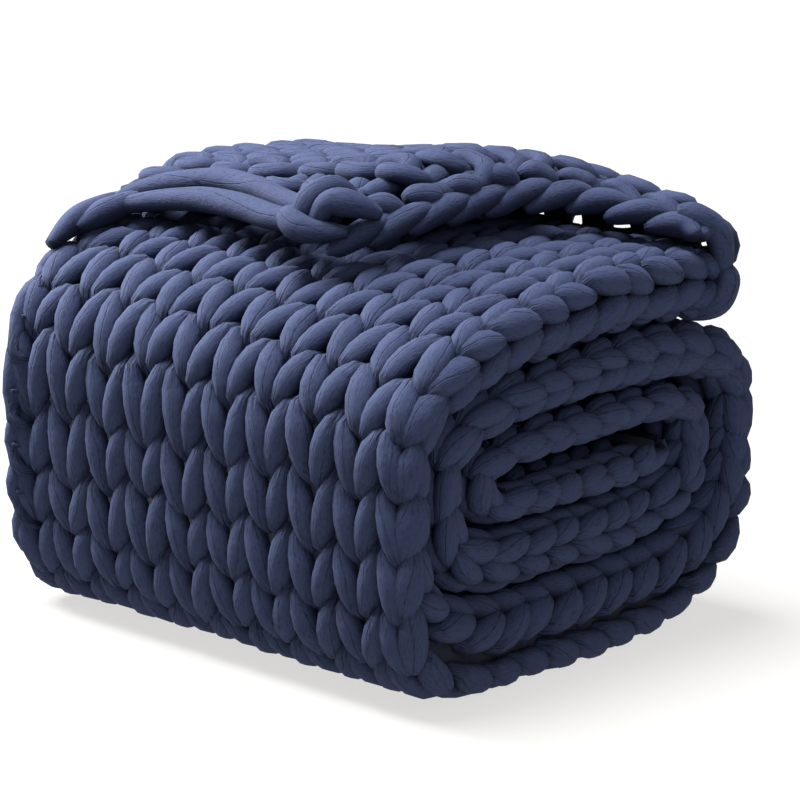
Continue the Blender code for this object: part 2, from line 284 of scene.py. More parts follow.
def plumpness(phase):
    """1 in the middle of a leg, 0 at the heads."""
    return np.exp(-(np.abs(ROW_REACH * np.cos(phase)) / PLUMP_REACH) ** PLUMP_EDGE)


print("a stitch is", round(WALE * 1000, 1), "mm wide, of yarn", round(LEG_WIDTH * 2000), "mm thick")

# %% [markdown]
# ## Uneven hands
# No two stitches of a hand knit are alike. Whole areas drift sideways and along, and each leg is a bit
# longer, thicker or higher than the next. A noise texture could move the points, but seeded numbers
# per leg keep each leg smooth, and give the same blanket on every run.

# %% Unevenness
WANDER_WAVES = 4
WANDER_ACROSS = 0.115                # the shortest wave across the cloth
WANDER_ROWS = 2.3                    # the shortest wave along it, in rows


def wander(a, b, seed, reach):
    """A smooth, repeatable unevenness in two directions."""
    dice = np.random.default_rng(seed)
    total = 0.0
    for _ in range(WANDER_WAVES):
        u, v, start = dice.uniform(-1, 1), dice.uniform(-1, 1), dice.uniform(0, math.tau)
        total = total + np.sin(a * u * math.tau / WANDER_ACROSS + b * v * math.tau / WANDER_ROWS + start)
    return total / WANDER_WAVES * reach


def leg_random(count_rows, count_legs, seed, reach):
    """One number for each leg of each row."""
    return np.random.default_rng(seed).uniform(-reach, reach, (count_rows, count_legs))


print("leg by leg, for example", leg_random(1, 4, 100, 1.0).round(2).tolist())

# %% [markdown]
# ## Rows of stitches
# A row of knitting is one length of yarn, so it is made as one line that runs through all its
# stitches. The function is told which rows and wales to knit and which face to lay them on. It gives
# back the yarn's centre lines, the way out of the cloth, and how wide, high and plump the yarn is.

# %% Knitting
ROW_END_SHARE = 0.35                 # of the yarn's thickness that is left at a row's own ends
ROW_END_SAMPLES = 5.0


def knit_rows(rows, first_wale, last_wale, seed, face, heads=ROLL_HEADS, slim=1.0):
    """Yarn centre lines with their widths for whole rows between two wales; slim thins the yarn."""
    head_depth, head_width, head_height, tuck = heads
    wales = np.arange(first_wale, last_wale + 1)
    phase = np.tile(STITCH_PHASES, len(wales))
    wale = np.repeat(wales, SAMPLES).astype(float)
    rows = np.asarray(rows, float)[:, None]
    legs = (phase + math.pi) / math.pi + 2.0 * np.repeat(np.arange(len(wales)), SAMPLES)
    count = 2 * len(wales)

    def per_leg(key, reach):
        table = leg_random(len(rows), count, seed + key, reach)
        return np.stack([np.interp(legs, np.arange(count) + 0.5, line) for line in table])

    swing = LEG_SWING * np.sin(2.0 * phase) + LEG_STRAIGHTENING * np.sin(4.0 * phase)
    place = (wale + phase / math.tau + swing) * WALE
    line = rows + ROW_REACH * np.cos(phase)
    place = place + per_leg(1, reach=0.0016) + wander(place, line, seed=11, reach=0.0040)
    line = line + per_leg(2, reach=0.05) + wander(place, line, seed=12, reach=0.16)
    raised = smooth_step((ROW_REACH - np.abs(ROW_REACH * np.cos(phase))) / RAISE_EASE)
    depth = head_depth + (LEG_DEPTH - head_depth) * raised
    depth = depth + per_leg(3, reach=0.0014)
    plump = plumpness(phase)
    width = (head_width + (LEG_WIDTH - head_width) * plump) * (1.0 + per_leg(4, reach=0.06))
    height = (head_height + (LEG_HEIGHT - head_height) * plump) * (1.0 + per_leg(5, reach=0.05))
    # every row's own ends are thin and can be tucked away
    from_end = np.minimum(np.arange(phase.size), np.arange(phase.size)[::-1])
    ends = ROW_END_SHARE + (1.0 - ROW_END_SHARE) * smooth_step(from_end / ROW_END_SAMPLES)
    width, height = width * ends, height * ends
    depth = depth - tuck * (1.0 - ends)
    width, height = width * slim, height * slim
    points, normals = face(place, line)
    centres = points - normals * depth[..., None]
    return centres, normals, width, height, plump + 0.0 * rows


def roll_face(place, line):
    """The roll's face at a place across the cloth and at a row."""
    return cloth_face(place, row_angle(line))


# %% [markdown]
# ## From a line to a yarn
# Blender's curves can carry a bevel, but their radius grows the same in all directions. Here rings
# of points are set along the centre line instead, wide in the cloth's plane and lower across it, and
# joined into a closed tube. numpy does this for all rows at once, which is far quicker than a loop
# over single faces.

# %% Rings and tubes
RING = 14                            # points around the yarn
LOWEST = 0.0004                      # nothing goes under the floor


def tube_rings(centres, outward, width, height):
    """Rings of points around centre lines, as rows by points by ring."""
    tangent = np.gradient(centres, axis=1)
    tangent /= np.linalg.norm(tangent, axis=-1, keepdims=True)
    side = np.cross(tangent, outward)
    side /= np.linalg.norm(side, axis=-1, keepdims=True)
    top = np.cross(side, tangent)
    turn = np.arange(RING) / RING * math.tau
    ring = (side[:, :, None] * (width[..., None] * np.cos(turn))[..., None]
            + top[:, :, None] * (height[..., None] * np.sin(turn))[..., None])
    verts = centres[:, :, None] + ring
    verts[..., 2] = np.maximum(verts[..., 2], LOWEST)
    return verts


def tube_mesh(name, verts):
    """Closed tubes through the rings, one for each row."""
    rows, points = verts.shape[:2]
    index = np.arange(rows * points * RING).reshape(rows, points, RING)
    after = np.roll(index, -1, axis=2)
    quads = np.stack([index[:, :-1], index[:, 1:], after[:, 1:], after[:, :-1]], -1).reshape(-1, 4)
    caps = np.concatenate([index[:, 0], index[:, -1, ::-1]])
    mesh = bpy.data.meshes.new(name)
    mesh.vertices.add(verts.size // 3)
    mesh.vertices.foreach_set("co", verts.reshape(-1).astype(np.float32))
    mesh.loops.add(quads.size + caps.size)
    mesh.loops.foreach_set("vertex_index", np.concatenate([quads.ravel(), caps.ravel()]).astype(np.int32))
    starts = np.concatenate([np.arange(len(quads)) * 4, quads.size + np.arange(len(caps)) * RING])
    mesh.polygons.add(len(starts))
    mesh.polygons.foreach_set("loop_start", starts.astype(np.int32))
    mesh.update(calc_edges=True)
    mesh.validate()
    mesh.shade_smooth()
    return mesh


print("the yarn has", RING, "points around it")

# %% [markdown]
# ## A piece of yarn
# The jersey's grain and seam, and the light and shade painted on the yarn's crest, flanks and pinched
# places, have to follow the yarn. Unwrapping the tubes would do that too, but here each point simply
# stores where it is: the cosine and sine of its angle around the yarn, its distance along it, and how
# much the yarn is pinched there. The material reads these attributes.

# %% Yarn pieces
FURTHEST_START = 5.0                 # metres; each row's distance starts elsewhere in the grain


def yarn_piece(name, centres, outward, width, height, plump, seed=0):
    """One object from an array of centre lines, rows by points."""
    verts = tube_rings(centres, outward, width, height)
    mesh = tube_mesh(name, verts)
    rows, points = centres.shape[:2]
    steps = np.linalg.norm(np.diff(centres, axis=1), axis=-1)
    along = np.concatenate([np.zeros((rows, 1)), np.cumsum(steps, axis=1)], axis=1)
    along = along + np.random.default_rng(seed + 90).uniform(0, FURTHEST_START, (rows, 1))
    turn = np.arange(RING) / RING * math.tau
    yarn = np.empty((rows, points, RING, 3), np.float32)
    yarn[..., 0] = np.cos(turn)
    yarn[..., 1] = np.sin(turn)
    yarn[..., 2] = along[..., None]
    mesh.attributes.new("yarn", "FLOAT_VECTOR", "POINT").data.foreach_set("vector", yarn.ravel())
    pinch = np.repeat(1.0 - plump[..., None], RING, axis=2).astype(np.float32)
    mesh.attributes.new("pinch", "FLOAT", "POINT").data.foreach_set("value", pinch.ravel())
    obj = bpy.data.objects.new(name, mesh)
    bpy.context.scene.collection.objects.link(obj)
    print(name, rows, "rows,", rows * (points - 1) * RING * 2, "triangles")
    return obj


# %% [markdown]
# ## The roll
# The outer turn is knitted at its full width. Of the turns inside only the fold and the edges can be
# seen, so only their stitches are made, which saves most of the triangles. The outer turn is parted in
# two pieces and its edge, so that no piece gets too heavy.

# %% The roll's knitting
WALES = 10                           # the last wale goes around the unfolded end's edge
INNER_LEGS = 0.84                    # the yarn is squeezed thinner inside
all_rows = np.arange(ROWS)
outer_rows = np.arange(OUTER_ROWS)
inner_rows = np.arange(OUTER_ROWS, ROWS)
front_rows, back_rows = np.split(outer_rows, [OUTER_ROWS // 2])
pieces = [
    yarn_piece("outer_turn_front", *knit_rows(front_rows, 1 - WALES, 1, 100, roll_face)),
    yarn_piece("outer_turn_back", *knit_rows(back_rows, 1 - WALES, 1, 200, roll_face)),
    yarn_piece("inner_turns_fold", *knit_rows(inner_rows, -1, 1, 300, roll_face, slim=INNER_LEGS)),
    yarn_piece("outer_turn_edge", *knit_rows(outer_rows, -WALES, -WALES, 700, roll_face)),
    yarn_piece("inner_turns_edge", *knit_rows(inner_rows, -WALES, 1 - WALES, 400, roll_face,
                                              slim=INNER_LEGS)),
    yarn_piece("inner_layer_edge", *knit_rows(all_rows, WALES - 1, WALES, 500, roll_face,
                                              slim=INNER_LEGS)),
]

# %% [markdown]
# ## The dark strip inside
# Between the fold and the edges the inner turns' yarn can't be seen, but without it light would shine
# through the roll. A plain strip in the dark painted shade of that yarn stands for it. It follows the
# same winding, thinner than the knitting, with a round front where it lies behind the fold's stitches.

# %% The strip
FILL_ACROSS = 0.20                   # half its thickness, as a share of a turn
FILL_STEPS = 170
FILL_FIRST = 0.05                    # it starts and stops short of the knitting, in radians
FILL_LAST = 0.12
FILL_FRONT = 0.004                   # behind the fold's start
FILL_ROUND = 0.012
fill_angles = np.linspace(START_ANGLE + FILL_FIRST, LAST_ANGLE - FILL_LAST, FILL_STEPS)[:, None]
fill_turn = np.linspace(-math.pi / 2.0, math.pi / 2.0, 7)
fill_x = np.concatenate([FOLD_START - FILL_FRONT + FILL_ROUND * np.cos(fill_turn),
                         [EDGE_START, EDGE_START]])
fill_across = FILL_ACROSS * np.concatenate([np.sin(fill_turn), [1.0, -1.0]])
fill_yz = spiral(fill_angles, fill_across[None, :], fill_x[None, :])
fill_points = np.stack([np.broadcast_to(fill_x, fill_yz.shape[:2]) + SHIFT_X,
                        fill_yz[..., 0] + SHIFT_Y, fill_yz[..., 1] + SHIFT_Z], -1)
sections, around = fill_points.shape[:2]
strip_faces = [(i * around + k, i * around + (k + 1) % around,
                (i + 1) * around + (k + 1) % around, (i + 1) * around + k)
               for i in range(sections - 1) for k in range(around)]
strip_faces += [tuple(range(around))[::-1], tuple(range((sections - 1) * around, sections * around))]
fill_mesh = bpy.data.meshes.new("hidden_yarn")
fill_mesh.from_pydata(fill_points.reshape(-1, 3).tolist(), [], strip_faces)
fill_mesh.shade_smooth()
hidden = bpy.data.objects.new("hidden_yarn", fill_mesh)
bpy.context.scene.collection.objects.link(hidden)
print("hidden_yarn", len(strip_faces), "faces")

# %% [markdown]
# ## The loose end
# The outer turn's last rows lift off behind, curl up and flop forward over the top, so there they
# show their back, where the heads of the stitches stand out as bumps. A cloth simulation could drop
# such an end over the roll, but it would not come to rest as in the photograph. So stations along the
# roll give the curl's back, ridge and free edge, as in the CAD model.

# %% Stations along the curl
LOOSE_STATIONS = np.array((
    # x, back_y, back_z, ridge_y, ridge_z, edge_y, edge_z
    (-0.276, 0.236, 0.398, 0.090, 0.422, -0.100, 0.413),
    (-0.215, 0.240, 0.402, 0.085, 0.425, -0.084, 0.419),
    (-0.110, 0.242, 0.405, 0.075, 0.434, -0.096, 0.417),
    (0.000, 0.244, 0.407, 0.070, 0.448, -0.102, 0.414),
    (0.052, 0.244, 0.407, 0.065, 0.453, -0.104, 0.413),
    (0.086, 0.244, 0.407, 0.105, 0.447, -0.030, 0.430),
    (0.112, 0.244, 0.406, 0.125, 0.445, 0.066, 0.440),
    (0.150, 0.243, 0.401, 0.160, 0.433, 0.130, 0.437),
    (0.205, 0.242, 0.392, 0.185, 0.418, 0.155, 0.427),
    (0.250, 0.240, 0.384, 0.200, 0.413, 0.172, 0.424),
    (0.276, 0.236, 0.372, 0.190, 0.405, 0.156, 0.414),
))


def cubic(start, start_slope, end, end_slope, t):
    """The cubic from one point to the next with a given slope at each."""
    return ((2 * t ** 3 - 3 * t ** 2 + 1) * start + (t ** 3 - 2 * t ** 2 + t) * start_slope
            + (3 * t ** 2 - 2 * t ** 3) * end + (t ** 3 - t ** 2) * end_slope)


def station_rows(x):
    """The stations' numbers at any x, eased between the table's rows."""
    table, last = LOOSE_STATIONS, len(LOOSE_STATIONS) - 1
    k = np.clip(np.searchsorted(table[:, 0], x) - 1, 0, last - 1)
    t = ((x - table[k, 0]) / (table[k + 1, 0] - table[k, 0]))[:, None]
    slope_a = (table[k + 1] - table[np.maximum(k - 1, 0)]) / 2.0
    slope_b = (table[np.minimum(k + 2, last)] - table[k]) / 2.0
    return cubic(table[k], slope_a, table[k + 1], slope_b, t)


CURL_X = np.linspace(LOOSE_STATIONS[0, 0], LOOSE_STATIONS[-1, 0], 93)
rows_at = station_rows(CURL_X)
print("ridge at most", round(rows_at[:, 4].max(), 3), "m high")

# %% [markdown]
# ## The curl's surface
# At each place along the roll the cloth's middle runs from the roll's face to the back, over the ridge
# and down to the free edge, as three cubic pieces. They are then read off at even steps of length,
# because the stitches are as long on the curl as on the roll.

# %% The curl's surface
CURL_STEPS = 81
ROOT_HEADING = (0.044, -0.0044)      # the way off the roll, then up behind it
BACK_HEADING = (0.0, 0.032)
RIDGE_SWEEP = 0.75                   # how wide the curl sweeps over its ridge and to its edge
EDGE_SWEEP = 0.9
EDGE_DROP = 0.006
root = (spiral(START_ANGLE, FACE, CURL_X) + spiral(START_ANGLE, LAYER_GAP, CURL_X)) / 2.0
knots = np.stack([root + [0.0, SHIFT_Z], rows_at[:, 1:3], rows_at[:, 3:5], rows_at[:, 5:7]], 1)
headings = np.stack([np.tile(ROOT_HEADING, (len(CURL_X), 1)), np.tile(BACK_HEADING, (len(CURL_X), 1)),
                     (knots[:, 3] - knots[:, 1]) * RIDGE_SWEEP,
                     (knots[:, 3] - knots[:, 2]) * EDGE_SWEEP - [0.0, EDGE_DROP]], 1)
t = np.linspace(0.0, 1.0, 41)[None, :, None]
parts = [cubic(knots[:, a, None], headings[:, a, None], knots[:, a + 1, None], headings[:, a + 1, None], t)
         for a in range(3)]
curl = np.concatenate([parts[0], parts[1][:, 1:], parts[2][:, 1:]], 1)
steps = np.linalg.norm(np.diff(curl, axis=1), axis=-1)
travelled = np.concatenate([np.zeros((len(CURL_X), 1)), np.cumsum(steps, axis=1)], 1)
CURL_LENGTH = travelled[:, -1]


def even_steps(run, line):
    """A line's points at even steps of its length."""
    at = np.linspace(0.0, run[-1], CURL_STEPS)
    return np.stack([np.interp(at, run, line[:, 0]), np.interp(at, run, line[:, 1])], -1)


curl = np.stack([even_steps(run, line) for run, line in zip(travelled, curl)])
print("the curl is", round(CURL_LENGTH.min(), 3), "to", round(CURL_LENGTH.max(), 3), "m long")

# %% [markdown]
# ## Reading the curl
# The curl is now a grid of points. Stitches need places between them, so the four nearest points are
# mixed, and the direction across the grid gives the way out of the cloth.

# %% A point of the curl
SHARE_STEP = 0.02                    # for the direction along the curl


def read_curl(x, share):
    """(y, z) of the grid at x and at a share of the curl's length."""
    i = np.clip((x - CURL_X[0]) / (CURL_X[1] - CURL_X[0]), 0, len(CURL_X) - 1.001)
    j = np.clip(share * (CURL_STEPS - 1), 0, CURL_STEPS - 1.001)
    i0, j0 = i.astype(int), j.astype(int)
    di, dj = (i - i0)[..., None], (j - j0)[..., None]
    near = curl[i0, j0] * (1 - dj) + curl[i0, j0 + 1] * dj
    far = curl[i0 + 1, j0] * (1 - dj) + curl[i0 + 1, j0 + 1] * dj
    return near * (1 - di) + far * di


def curl_point(x, share):
    """The cloth's middle at x and at a share of the curl's length, with its knitted side's normal."""
    share = np.clip(share, 0.0, 1.0)
    here = read_curl(x, share)
    after = read_curl(x, np.minimum(share + SHARE_STEP, 1.0))
    way = after - read_curl(x, np.maximum(share - SHARE_STEP, 0.0))
    way /= np.linalg.norm(way, axis=-1, keepdims=True)
    point = np.stack([x + SHIFT_X, here[..., 0] + SHIFT_Y, here[..., 1]], -1)
    normal = np.stack([np.zeros_like(x), -way[..., 1], way[..., 0]], -1)
    return point, normal


middle, _ = curl_point(np.zeros(1), np.ones(1))
print("the free edge's middle is at", middle.round(3).tolist())

# %% [markdown]
# ## The loose end's knitting
# The same rows go on over the curl, counted backwards from the roll. Fewer and fewer wales are left in
# them towards the free edge, because that edge runs slantwise across the roll. Rows that end in the
# same wale share a piece.

# %% Rows on the curl
CURL_PITCH = 0.046                   # from row to row
CURL_FACE = 0.0165                   # half the cloth's thickness
CURL_NARROWING = 0.97                # the loose cloth draws in a little
CURL_HEADS = (0.0250, 0.0115, 0.0105, 0.020)
SHOWN_PLUMPNESS = 0.75               # the heads show here, smooth and hardly gathered


def curl_face(place, line):
    """The curl's knitted face at a place across the cloth and at a row."""
    x = FOLD_START - (np.abs(place) - QUARTER_FOLD) * CURL_NARROWING
    run = (FIRST_ROW - line) * CURL_PITCH
    point, normal = curl_point(x, run / np.interp(x, CURL_X, CURL_LENGTH))
    return point + normal * CURL_FACE, normal


for number, rows, wales in ((1, (-1,), (-10, -1)), (2, (-2,), (-10, -3)), (3, (-3, -4, -5), (-10, -4)),
                            (4, (-6,), (-10, -4)), (5, (-7,), (-10, -5))):
    line, out, width, height, plump = knit_rows(rows, *wales, 600 + number, curl_face, CURL_HEADS)
    # The heads count as hardly pinched, so they get few creases and little painted shade.
    plump = SHOWN_PLUMPNESS + (1.0 - SHOWN_PLUMPNESS) * plump
    # the side that shows is the back, so the yarn's top, which gets the crest's painted light, faces that way
    pieces.append(yarn_piece(f"loose_end_knit_{number}", line, -out, width, height, plump))

# %% [markdown]
# ## Strands
# The free edge is finished with strands that are thicker than the stitches. Each is a line of points
# with a radius, a little uneven and thinner at its ends, so that they sink into their neighbours.

# %% Strands
STRAND_TAPER_POWER = 2.6
STRAND_FLATNESS = 0.93
STRAND_UNEVENNESS = 0.05


def strand(name, line, outward, radius, seed, taper=0.0):
    """A thick filled yarn along a line of points, thinner at its ends by the taper."""
    along = np.linspace(-1.0, 1.0, line.shape[1])
    plump = 1.0 - taper * np.abs(along) ** STRAND_TAPER_POWER
    plump = np.broadcast_to(plump, line.shape[:2])
    dice = np.random.default_rng(seed)
    phase = dice.uniform(0.0, 6.0, (line.shape[0], 1))
    uneven = 1.0 + STRAND_UNEVENNESS * np.sin(along * 5.0 + phase)
    width = radius * plump * uneven
    # The strands' thin ends count as pinched, so painted shade darkens them where they sink into their
    # neighbours.
    return yarn_piece(name, line, outward, width, width * STRAND_FLATNESS, 1.0 - (1.0 - plump) * 0.9, seed)


# %% [markdown]
# ## The chain
# Towards the folded end the free edge is a chain: pairs of legs that meet in a V, each tucked into the
# next. Each leg is placed by how far it lies inwards from the edge and how far it drops, so the chain
# follows the curl. A chain drawn point by point would need new points for every change of the curl.

# %% The chain
CHAIN_STITCHES = 9
CHAIN_FROM = 0.046                   # x where it starts, at the knot, and where it ends
CHAIN_TO = 0.272
CHAIN_RADIUS = 0.0135
CHAIN_TAPER = 0.62
LEAF_START = -0.12                   # a leg's start and length, in stitches
LEAF_LENGTH = 1.42
LEAF_RISE = 0.005                    # how high a leg arches
LEAF_BEND = 1.3
END_DROP = 0.010                     # the chain sinks towards the folded end
END_DROP_FROM = 0.200
END_DROP_EASE = 0.070
# for the two legs of a chain stitch: how far inwards each starts and ends, how far it drops there
CHAIN_LEGS = ((0.048, 0.022, 0.002, 0.009), (-0.008, 0.014, 0.026, 0.009))


def edge_frame(x, inwards):
    """A point of the free edge, moved inwards over the cloth, and the way out of the curl there."""
    share = 1.0 - inwards / np.interp(x, CURL_X, CURL_LENGTH)
    point, normal = curl_point(x, share)
    beyond = np.clip(-inwards, 0.0, None)[..., None]
    last, _ = curl_point(x, np.ones_like(x))
    before, _ = curl_point(x, np.full_like(x, 0.96))
    heading = (last - before) / np.linalg.norm(last - before, axis=-1, keepdims=True)
    return point + heading * beyond, -normal


def chain_leg(number, start_in, end_in, start_drop, end_drop):
    """One leg's line and the way out of the curl along it."""
    run = (number + LEAF_START + LEAF_LENGTH * leaf) * chain_pitch
    x = np.interp(run, chain_run, along_chain)
    point, out = edge_frame(x, start_in + (end_in - start_in) * leaf ** LEAF_BEND)
    drop = start_drop + (end_drop - start_drop) * leaf
    drop = drop + END_DROP * smooth_step((x - END_DROP_FROM) / END_DROP_EASE)
    return point + out * (LEAF_RISE * np.sin(leaf * math.pi) - drop)[:, None], out


leaf = np.linspace(0.0, 1.0, 15)
along_chain = np.linspace(CHAIN_FROM, CHAIN_TO, 400)
chain_points, _ = edge_frame(along_chain, np.zeros(400))
chain_run = np.concatenate([[0.0], np.cumsum(np.linalg.norm(np.diff(chain_points, axis=0), axis=1))])
chain_pitch = chain_run[-1] / (CHAIN_STITCHES + 0.25)
legs = [chain_leg(number, *leg) for number in range(CHAIN_STITCHES) for leg in CHAIN_LEGS]
lines, outs = (np.array(values) for values in zip(*legs))
pieces.append(strand("edge_chain", lines, outs, CHAIN_RADIUS, 700, CHAIN_TAPER))
print("chain of", CHAIN_STITCHES, "stitches,", round(chain_pitch, 4), "apart")

# %% [markdown]
# ## The cord, the knot and the corner
# Towards the unfolded end two thick strands run side by side along the free edge with a part twist.
# Where they meet the chain they are tied in a knot. Two short strands finish the corner, one follows
# the cloth's side edge back to the roll, and two more close the curl at the folded end. A knot has no
# simple formula, so a few points along each strand are listed, in the imported model's frame.

# %% Points of the strands
CORD_STRANDS = (
    ((-0.268, -0.132, 0.394), (-0.262, -0.116, 0.402), (-0.248, -0.102, 0.411), (-0.230, -0.094, 0.417),
     (-0.205, -0.086, 0.423), (-0.150, -0.076, 0.431), (-0.091, -0.085, 0.431), (-0.033, -0.100, 0.427),
     (0.016, -0.110, 0.424), (0.044, -0.104, 0.420)),
    ((-0.262, -0.134, 0.397), (-0.240, -0.118, 0.402), (-0.210, -0.110, 0.408), (-0.175, -0.106, 0.413),
     (-0.142, -0.105, 0.416), (-0.089, -0.109, 0.416), (-0.039, -0.117, 0.413), (-0.010, -0.121, 0.413),
     (0.014, -0.121, 0.413), (0.036, -0.116, 0.412)),
)
CORNER_STRANDS = (
    ((-0.274, -0.198, 0.366), (-0.273, -0.165, 0.386), (-0.270, -0.130, 0.397), (-0.262, -0.100, 0.405)),
    ((-0.262, -0.172, 0.381), (-0.258, -0.145, 0.392), (-0.250, -0.122, 0.400), (-0.236, -0.102, 0.408)),
)
SELVEDGE_STRANDS = (
    ((-0.262, -0.122, 0.401), (-0.267, -0.060, 0.412), (-0.269, 0.010, 0.418), (-0.270, 0.090, 0.420),
     (-0.269, 0.180, 0.412), (-0.267, 0.226, 0.396), (-0.267, 0.236, 0.370)),
)
KNOT_STRANDS = (
    ((0.078, -0.084, 0.424), (0.066, -0.106, 0.435), (0.047, -0.122, 0.436), (0.034, -0.132, 0.414)),
    ((0.000, -0.112, 0.416), (0.008, -0.136, 0.420), (0.034, -0.142, 0.412), (0.066, -0.116, 0.410)),
    ((0.040, -0.076, 0.432), (0.030, -0.100, 0.447), (0.022, -0.124, 0.436), (0.022, -0.136, 0.414)),
)
SIDE_STRANDS = (
    ((0.243, 0.160, 0.416), (0.258, 0.176, 0.410), (0.269, 0.194, 0.392), (0.273, 0.200, 0.346)),
    ((0.274, 0.200, 0.362), (0.277, 0.199, 0.344), (0.272, 0.189, 0.326), (0.248, 0.172, 0.313)),
)
print("the cord is", round(math.dist(CORD_STRANDS[0][0], CORD_STRANDS[0][-1]), 3), "m from end to end")

# %% [markdown]
# ## Laying the strands
# A smooth line runs through each strand's points, and the yarn goes around it. The direction that a
# strand faces is where its crest gets the painted light.

# %% The strands
LONG_LINE = 49                       # points on the cord's lines, and on all others
SHORT_LINE = 21


def smooth_line(points, count):
    """A smooth line through a few points, by cubic pieces."""
    points = np.array(points)
    slopes = np.gradient(points, axis=0)
    at = np.linspace(0.0, len(points) - 1.001, count)
    k = at.astype(int)
    return cubic(points[k], slopes[k], points[k + 1], slopes[k + 1], (at - k)[:, None])


# for each piece: its name, strands, points on a line, radius, taper and the way it faces
STRAND_PIECES = (
    ("edge_cord", CORD_STRANDS, LONG_LINE, 0.0135, 0.45, (0.0, -0.4, 0.9)),
    ("edge_corner", CORNER_STRANDS, SHORT_LINE, 0.0145, 0.55, (-0.3, -0.6, 0.7)),
    ("edge_selvedge", SELVEDGE_STRANDS, SHORT_LINE, 0.0130, 0.30, (-0.4, 0.1, 0.9)),
    ("edge_knot", KNOT_STRANDS, SHORT_LINE, 0.0140, 0.55, (0.1, -0.5, 0.9)),
    ("side_strand", SIDE_STRANDS, SHORT_LINE, 0.0145, 0.50, (1.0, 0.1, 0.1)),
)
for name, table, count, radius, taper, facing in STRAND_PIECES:
    lines = np.array([smooth_line(points, count) for points in table])
    facing = np.broadcast_to(np.array(facing), lines.shape)
    pieces.append(strand(name, lines, facing, radius, 700 + len(pieces), taper))

# %% [markdown]
# ## Shader maths
# A material's maths reads best as a formula. A small class holds one node socket and lets the usual
# signs add the Math nodes. Any other node comes from one method, which takes its type, its settings
# and the values or links of its sockets. Without it each sign in a formula would take several lines
# of nodes and links.

# %% A value in a shader
class Wire:
    """One output of a node, which can be added, subtracted and multiplied like a number."""

    def __init__(self, tree, socket=None):
        self.tree = tree
        self.socket = socket

    def node(self, kind, inputs, output=0, **settings):
        """A new node with its settings and its sockets' values or links."""
        new = self.tree.nodes.new(kind)
        for key, value in settings.items():
            setattr(new, key, value)
        for key, value in inputs.items():
            if isinstance(value, Wire):
                self.tree.links.new(value.socket, new.inputs[key])
            else:
                new.inputs[key].default_value = value
        return Wire(self.tree, new.outputs[output])

    def maths(self, operation, first, second=0.0):
        return self.node("ShaderNodeMath", {0: first, 1: second}, operation=operation)

    def __add__(self, other):
        return self.maths("ADD", self, other)

    def __sub__(self, other):
        return self.maths("SUBTRACT", self, other)

    def __rsub__(self, other):
        return self.maths("SUBTRACT", other, self)

    def __mul__(self, other):
        return self.maths("MULTIPLY", self, other)

    __radd__ = __add__
    __rmul__ = __mul__

    def __abs__(self):
        return self.maths("ABSOLUTE", self)

    def eased(self, low, high):
        """0 below low, 1 above high, and eased between."""
        return self.node("ShaderNodeMapRange", {"Value": self, "From Min": low, "From Max": high},
                         interpolation_type="SMOOTHSTEP")


# %% [markdown]
# ## Navy jersey
# The yarn's cover is fine jersey sewn into a tube. Its grain runs along the yarn, and its seam is a
# thin dark line off to one side, which shows on some stitches and is hidden on others. Where a stitch
# is squeezed, the cover gathers in small creases along the yarn, and painted shade darkens it there.
# All of it is computed from the place along and around the yarn, so it follows every bend. An image
# texture would need an unwrapped yarn and would repeat.

# %% The patterns on the yarn
GRAIN_STRETCH = (0.014, 0.014, 0.35)     # for the cosine and sine around the yarn, and along it
CLOUD_STRETCH = (0.014, 0.014, 1.0)
CREASE_STRETCH = (0.034, 0.034, 0.40)
ALONG_ONLY = (0.0, 0.0, 1.0)
SEAM_ANGLE = 1.3
SEAM_DRIFT = 7.0
SEAM_EDGES = (0.02, 0.075)               # half the seam's width, in radians


def noise_on(yarn, stretch, scale, detail=2.0):
    """Noise that is stretched along the yarn."""
    place = yarn.node("ShaderNodeVectorMath", {0: yarn, 1: stretch}, operation="MULTIPLY")
    return yarn.node("ShaderNodeTexNoise", {"Vector": place, "Scale": scale, "Detail": detail}, "Fac")


def seam_on(yarn, around_x, around_y):
    """1 on the seam and 0 off it, with a pucker along it."""
    pucker = noise_on(yarn, ALONG_ONLY, 420.0)
    drift = noise_on(yarn, ALONG_ONLY, 5.0)
    angle = yarn.maths("ARCTAN2", around_y, around_x)
    from_seam = abs(angle - SEAM_ANGLE - SEAM_DRIFT * (drift - 0.5))
    return (1.0 - from_seam.eased(*SEAM_EDGES)) * (0.55 + 0.9 * (pucker - 0.5))


print("the seam is at", round(math.degrees(SEAM_ANGLE)), "degrees around the yarn, and drifts")

# %% [markdown]
# ## Light and shade on the yarn
# A stitch's flanks lie against its neighbours, where shade falls, so painted shade darkens them and
# the crest is painted lighter. At the unfolded end the stitches' flanks lie open, so they get less
# painted shade, least of all on the outer turn's edge. The bump's heights are in metres.

# %% The yarn's material
# The crest's painted light and the flanks' painted shade follow the height around the yarn.
CREST_EDGES = (-0.5, 0.85)               # heights around the yarn where the crest's light starts and is full
GATHER_AND_SHADE_EDGES = (0.15, 0.75)
TONE_EDGES = (-0.35, 0.85)
JERSEY_ROUGHNESS = 0.88
JERSEY_SPECULAR = 0.12


